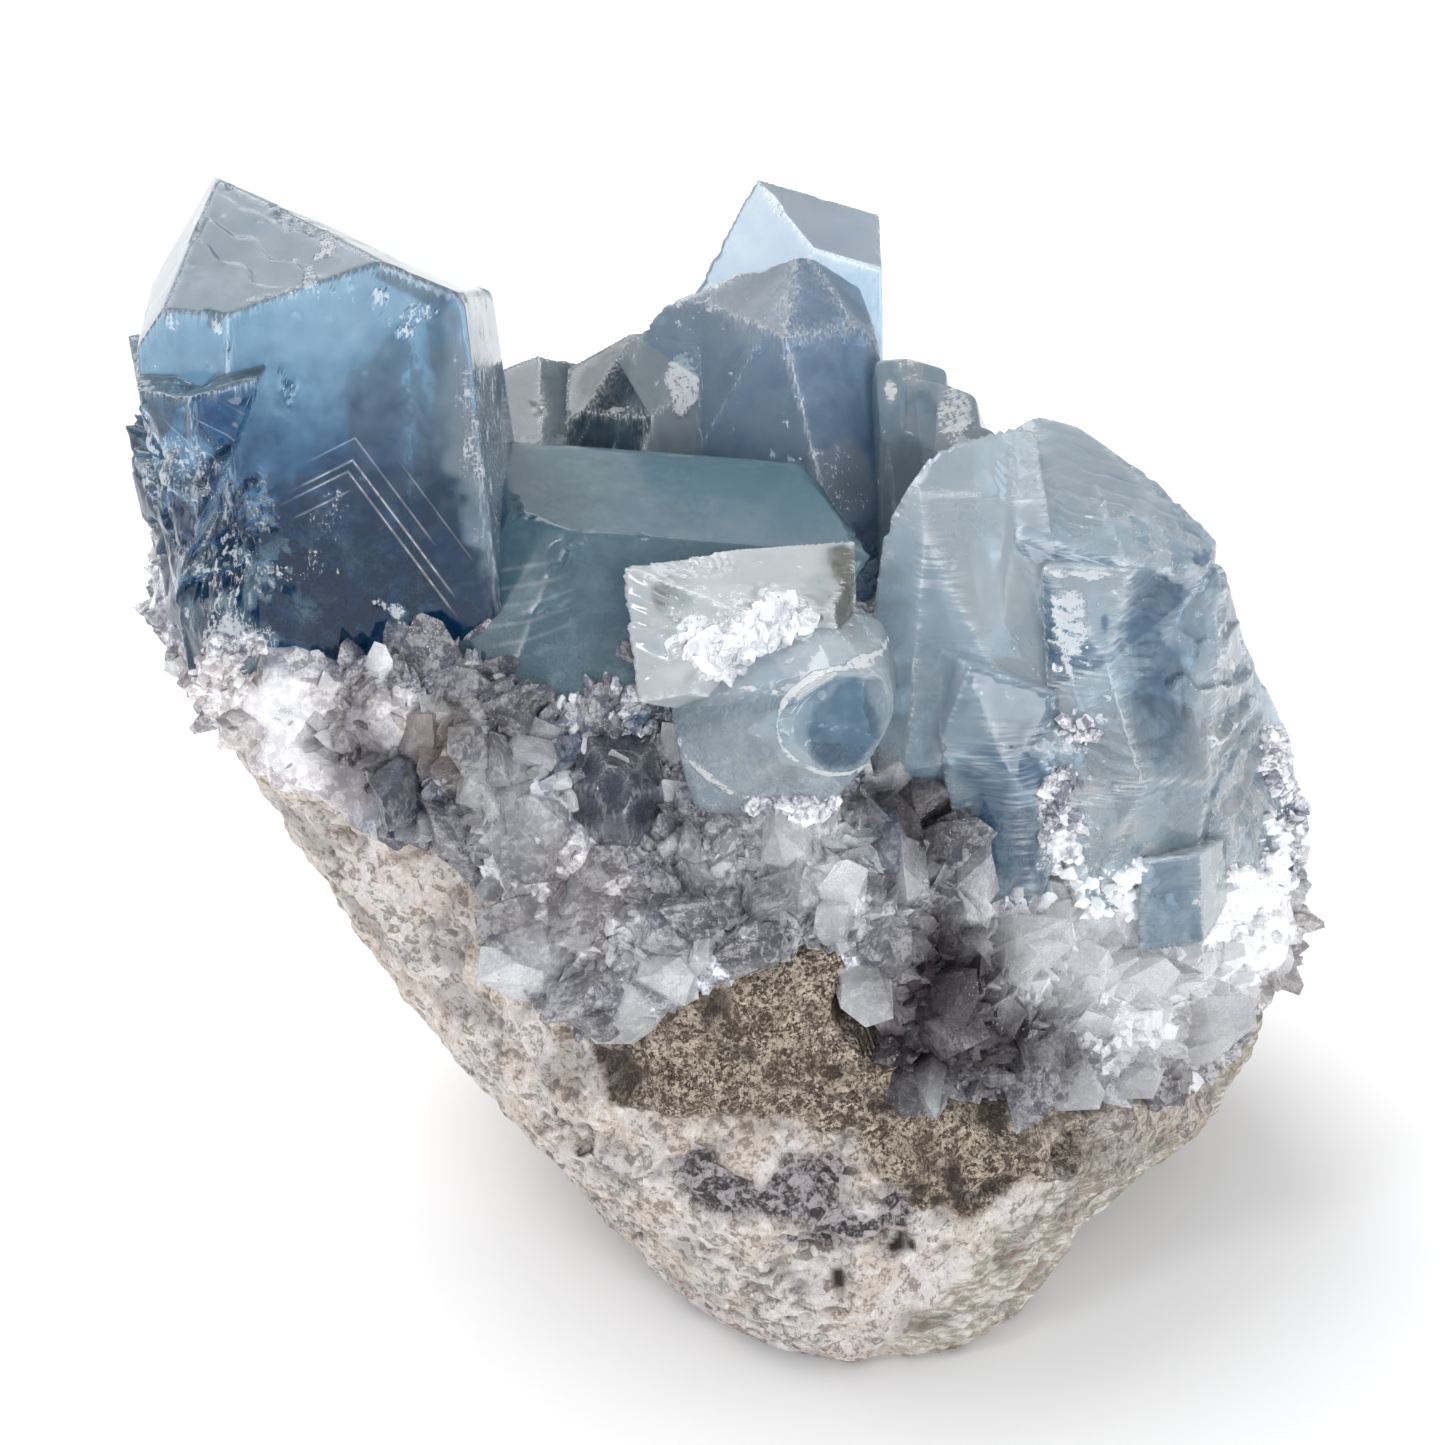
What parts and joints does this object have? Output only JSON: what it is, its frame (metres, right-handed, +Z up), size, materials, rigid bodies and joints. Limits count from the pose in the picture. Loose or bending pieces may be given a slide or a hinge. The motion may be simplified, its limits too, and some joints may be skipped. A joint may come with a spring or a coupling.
{
  "type": "celestite crystal cluster",
  "caption": "Natural cluster of pale to deep blue celestite crystals on a drusy crust over a wedge of brown and whitish-grey stone, resting on its flat underside.",
  "frame": {"origin": "centre of the bounding box in plan, at the flat base", "axes": "+Z up; +X along the longest extent, from the tall left crystal to the right crystal mass; -Y towards the front with the broken brown face"},
  "size_m": [0.0744, 0.0574, 0.0657],
  "materials": {
    "matrix_stone": "rough granular broken stone with a whitish rind",
    "druse": "sugary druse of tiny lavender-grey to white crystals",
    "blue_crystal": "glossy see-through blue crystal, deeper towards its foot",
    "grey_blue_crystal": "glossy see-through grey-blue crystal with scratched faces",
    "pale_crystal": "glossy pale greenish-blue crystal with striated, shell-like broken faces",
    "clear_crystal": "glossy clear crystal with bright fractures",
    "smoky_crystal": "glossy purple-grey crystal"
  },
  "bodies": {
    "root": {"rock_matrix": "matrix_stone", "druse_crust": "druse", "front_rounded_crystal": "pale_crystal", "front_clear_crystal": "clear_crystal", "dark_dome_crystal": "smoky_crystal", "left_tall_crystal": "blue_crystal", "right_crystal_mass": "pale_crystal", "middle_wide_crystal": "grey_blue_crystal", "left_rear_small_crystal": "grey_blue_crystal", "rear_twin_crystal": "blue_crystal", "far_left_small_crystal": "pale_crystal", "right_rear_bunch": "pale_crystal", "back_left_crystal": "grey_blue_crystal", "back_right_crystal": "pale_crystal"}
  },
  "joints": []
}
